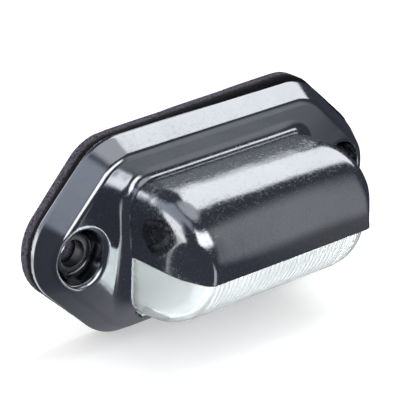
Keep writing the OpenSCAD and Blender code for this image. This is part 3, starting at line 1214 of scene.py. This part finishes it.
@dataclass
class Fittings:
    """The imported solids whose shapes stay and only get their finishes."""

    finishes: tuple[tuple[str, Finish], ...] = (
        ("lens_seal", Finish.SEAL),
        ("base_plate", Finish.ZINC),
        ("socket_bracket", Finish.ZINC),
        ("bracket_rivet_upper", Finish.ALUMINIUM),
        ("bracket_rivet_lower", Finish.ALUMINIUM),
        ("socket_body", Finish.HOLDER),
        ("live_contact", Finish.BRASS),
        ("earth_contact", Finish.BRASS),
        ("bulb_glass", Finish.GLASS),
        ("bulb_filament", Finish.WIRE),
        ("bulb_lead_live", Finish.WIRE),
        ("bulb_lead_earth", Finish.WIRE),
        ("grommet", Finish.SEAL),
    )

    def dress(self) -> None:
        """Gives each kept solid its finish."""
        for node, finish in self.finishes:
            dress(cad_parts[node], finish)
            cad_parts[node].visible_shadow = finish is not Finish.GLASS
            LOG.info("%s: %s", node, finish.name)


# ---------------------------------------------------------------- studio


@dataclass(frozen=True)
class Panel:
    """A soft light or a dark flag in the tent, by its direction from the lamp.

    Bearings run from 0 in front to +90 at the right, heights are above the horizon, both in degrees.
    """

    bearing: Pair
    height: Pair
    tone: float
    soft: float
    tint: Triple = (1.0, 1.0, 1.0)

    def share(self, bearing: Array, height: Array) -> Array:
        """Share of the panel that shows at each direction, from 0 to 1.

        Args:
            bearing: Bearings in degrees.
            height: Heights in degrees.

        Returns:
            The shares.
        """
        middle = (self.bearing[0] + self.bearing[1]) / 2
        off = np.abs((bearing - middle + 180) % 360 - 180) - (self.bearing[1] - self.bearing[0]) / 2
        off = off * np.cos(np.radians(np.clip(height, -75, 75)))
        rise = np.maximum(self.height[0] - height, height - self.height[1])
        out = np.hypot(np.maximum(off, 0), np.maximum(rise, 0)) + np.minimum(np.maximum(off, rise), 0)
        return ease(out, self.soft, -self.soft)


@dataclass
class Tent:
    """Light tent round the lamp, which only its reflections show."""

    radius: float = 170.0
    ground: float = -20.8
    rows: int = 120
    base: Triple = (0.040, 0.042, 0.056)
    panels: tuple[Panel, ...] = (
        Panel((-180, 180), (-100, -32), 0.17, 10, (0.96, 0.96, 1.05)),
        Panel((-180, 180), (66, 100), 0.42, 6, (0.96, 0.98, 1.05)),
        Panel((22, 50), (-12, 40), 0.21, 8, (0.98, 1.0, 1.06)),
        Panel((30, 60), (-40, -14), 0.075, 6, (1.0, 1.0, 1.06)),
        Panel((-150, -92), (16, 58), 0.34, 8, (0.88, 0.95, 1.12)),
        Panel((-132, -98), (-12, 18), 1.0, 5),
        Panel((-118, -100), (-34, -12), 0.7, 4),
        Panel((-136, -56), (37, 57), 0.30, 7, (0.88, 0.96, 1.12)),
        Panel((-46, 14), (20, 42), 1.4, 4),
        Panel((-24, -4), (-22, -11), 0.5, 4),
        Panel((79, 146), (28, 67), 1.05, 3, (0.985, 1.0, 1.01)),
        Panel((100, 150), (-60, -12), 0.12, 8, (1.0, 1.0, 1.05)),
        Panel((160, 215), (-10, 24), 0.85, 4),
    )

    def tones(self, bearing: Array, height: Array) -> Array:
        """Light that comes from each direction.

        Args:
            bearing: Bearings in degrees.
            height: Heights in degrees.

        Returns:
            One colour for each direction.
        """
        tone = np.ones((*bearing.shape, 3)) * np.array(self.base)
        for panel in self.panels:
            share = panel.share(bearing, height)[..., None]
            tone = tone * (1 - share) + share * panel.tone * np.array(panel.tint)
        return tone

    def build(self) -> bpy.types.Object:
        """Builds the tent as a ball with a flat ground and its tones stored at its points.

        Returns:
            The tent.
        """
        columns = self.rows * 2
        heights = np.linspace(-90, 90, self.rows + 1)
        bearings = np.arange(columns) * 360.0 / columns - 180
        bearing, height = np.meshgrid(bearings, heights)
        b, h = np.radians(bearing), np.radians(height)
        points = self.radius * np.stack([np.sin(b) * np.cos(h), -np.cos(b) * np.cos(h), np.sin(h)], -1)
        points *= np.minimum(1, self.ground / np.minimum(points[..., 2:], self.ground))
        number = np.arange(points.shape[0] * columns).reshape(-1, columns)
        right = np.roll(number, -1, 1)
        faces = np.stack([number[:-1], right[:-1], right[1:], number[1:]], -1).reshape(-1, 4)
        tent = add_mesh("light_tent", points.reshape(-1, 3), faces)
        store(tent, "tone", self.tones(bearing, height).reshape(-1, 3))
        sheet = Sheet("tent_cloth")
        glow = sheet.tree.nodes.new("ShaderNodeEmission")
        sheet.join(sheet.stored("tone"), "Color", glow, "Color")
        sheet.join(glow, "Emission", sheet.output, "Surface")
        sheet.material.cycles.emission_sampling = "NONE"
        tent.data.materials.append(sheet.material)
        only_reflected(tent)
        return tent


def only_reflected(obj: bpy.types.Object) -> None:
    """Leaves an object of the studio visible to reflections alone.

    Args:
        obj: The object.
    """
    obj.visible_camera = False
    obj.visible_diffuse = False
    obj.visible_transmission = False
    obj.visible_shadow = False
    obj.visible_volume_scatter = False


def shown(tree: bpy.types.NodeTree) -> bpy.types.NodeSocket:
    """Adds nodes that give 1 to camera, glossy and transmission rays, and 0 to others.

    Args:
        tree: Nodes of a material or of the world.

    Returns:
        The socket with the result.
    """
    path = tree.nodes.new("ShaderNodeLightPath")
    total = path.outputs["Is Camera Ray"]
    for kind in ("Is Glossy Ray", "Is Transmission Ray"):
        add = tree.nodes.new("ShaderNodeMath")
        add.operation = "ADD"
        add.use_clamp = True
        tree.links.new(total, add.inputs[0])
        tree.links.new(path.outputs[kind], add.inputs[1])
        total = add.outputs["Value"]
    return total


@dataclass(frozen=True)
class Lamp:
    """A square soft lamp, aimed at the piece and left out of its reflections."""

    name: str
    power: float
    size: float
    place: Triple

    def build(self) -> None:
        """Builds the lamp."""
        data = bpy.data.lights.new(self.name, "AREA")
        data.shape = "SQUARE"
        data.size = self.size * MM
        data.energy = self.power
        lamp = bpy.data.objects.new(self.name, data)
        place = Vector(self.place) * MM
        turn = (-place).to_track_quat("-Z", "Y")
        lamp.matrix_world = Matrix.Translation(place) @ turn.to_matrix().to_4x4()
        lamp.visible_glossy = False
        lamp.visible_camera = False
        lamp.visible_transmission = False
        bpy.context.scene.collection.objects.link(lamp)


@dataclass
class Studio:
    """Floor, lights and camera."""

    azimuth: float = -40.58
    elevation: float = 23.2
    roll: float = -0.43
    shift: Pair = (-2.15, 0.33)
    distance: float = 455.0
    focal_pixels: float = 2309.0
    picture: float = 400.0
    sensor: float = 36.0
    near: float = 10.0
    floor_z: float = -20.9
    floor_size: float = 6000.0
    floor_glow: float = 0.3
    floor_through: float = 0.45
    surround: float = 0.92
    lamps: tuple[Lamp, ...] = (
        Lamp("soft_lamp", 1.0, 260.0, (150.0, -60.0, 420.0)),
        Lamp("low_fill", 1.0, 180.0, (-180.0, -230.0, 10.0)),
    )

    def camera(self) -> None:
        """Puts the camera where the photograph was taken."""
        az, el, roll = (math.radians(a) for a in (self.azimuth, self.elevation, self.roll))
        back = Vector((math.sin(az) * math.cos(el), -math.cos(az) * math.cos(el), math.sin(el)))
        right = Vector((0, 0, 1)).cross(back).normalized()
        up = back.cross(right)
        side = math.cos(roll) * right + math.sin(roll) * up
        top = -math.sin(roll) * right + math.cos(roll) * up
        turn = Matrix((side, top, back)).transposed()
        data = bpy.data.cameras.new("camera")
        data.sensor_width = self.sensor
        data.lens = self.focal_pixels / self.picture * self.sensor
        data.clip_start = self.near * MM
        camera = bpy.data.objects.new("camera", data)
        place = turn @ Vector((-self.shift[0], -self.shift[1], self.distance)) * MM
        camera.matrix_world = Matrix.Translation(place) @ turn.to_4x4()
        bpy.context.scene.collection.objects.link(camera)
        bpy.context.scene.camera = camera

    def floor(self) -> None:
        """Lays a plain pale floor that keeps the lamp's shadow and is clear from below."""
        half = self.floor_size / 2
        points = [(x * half, y * half, self.floor_z) for x, y in ((-1, -1), (1, -1), (1, 1), (-1, 1))]
        floor = add_mesh("floor", np.array(points), [(0, 1, 2, 3)])
        sheet = Sheet("pale_floor")
        new = sheet.tree.nodes.new
        tint = sheet.ramp(sheet.noise(30.0), [(0.3, (0.74, 0.74, 0.745)), (0.7, (0.75, 0.75, 0.755))])
        matt, glow, both = (new("ShaderNode" + n) for n in ("BsdfDiffuse", "Emission", "AddShader"))
        path, under = new("ShaderNodeLightPath"), new("ShaderNodeNewGeometry")
        clear, side = new("ShaderNodeBsdfTransparent"), new("ShaderNodeMixShader")
        part = sheet.sum("MULTIPLY", 0.0, self.floor_glow)
        sheet.tree.links.new(shown(sheet.tree), part.inputs[0])
        level = sheet.sum("MULTIPLY_ADD", (path, "Is Transmission Ray"), self.floor_through, (part, "Value"))
        for link in ((tint, "Color", matt, "Color"), (level, "Value", glow, "Strength"),
                     (matt, "BSDF", both, 0), (glow, "Emission", both, 1),
                     (under, "Backfacing", side, "Fac"), (both, "Shader", side, 1),
                     (clear, "BSDF", side, 2), (side, "Shader", sheet.output, "Surface")):
            sheet.join(*link)
        sheet.material.cycles.emission_sampling = "NONE"
        floor.data.materials.append(sheet.material)

    def world(self) -> None:
        """Gives a white surround that the metal and the lens show too."""
        world = bpy.data.worlds.new("studio")
        bpy.context.scene.world = world
        world.use_nodes = True
        tree = world.node_tree
        level = tree.nodes.new("ShaderNodeMapRange")
        level.inputs["To Min"].default_value = self.surround
        level.inputs["To Max"].default_value = 1.0
        sky = tree.nodes["Background"]
        sky.inputs["Color"].default_value = (1, 1, 1, 1)
        tree.links.new(shown(tree), level.inputs["Value"])
        tree.links.new(level.outputs["Result"], sky.inputs["Strength"])

    def build(self) -> None:
        """Builds the studio."""
        self.camera()
        self.floor()
        for lamp in self.lamps:
            lamp.build()
        self.world()
        Tent().build()


def main() -> None:
    """Builds the lamp and its studio."""
    logging.basicConfig(level=logging.INFO, format="%(name)s: %(message)s")
    for part in (Housing(), Lens(), Gasket(), Eyelet(-1, "eyelet_left"), Eyelet(1, "eyelet_right")):
        piece = part.build()
        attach(piece, BODY)
        LOG.info("%s: %d points, %d faces", piece.name, len(piece.data.vertices), len(piece.data.polygons))
    Fittings().dress()
    Studio().build()
    bpy.context.scene.view_settings.view_transform = "Standard"


if __name__ == "__main__":
    main()
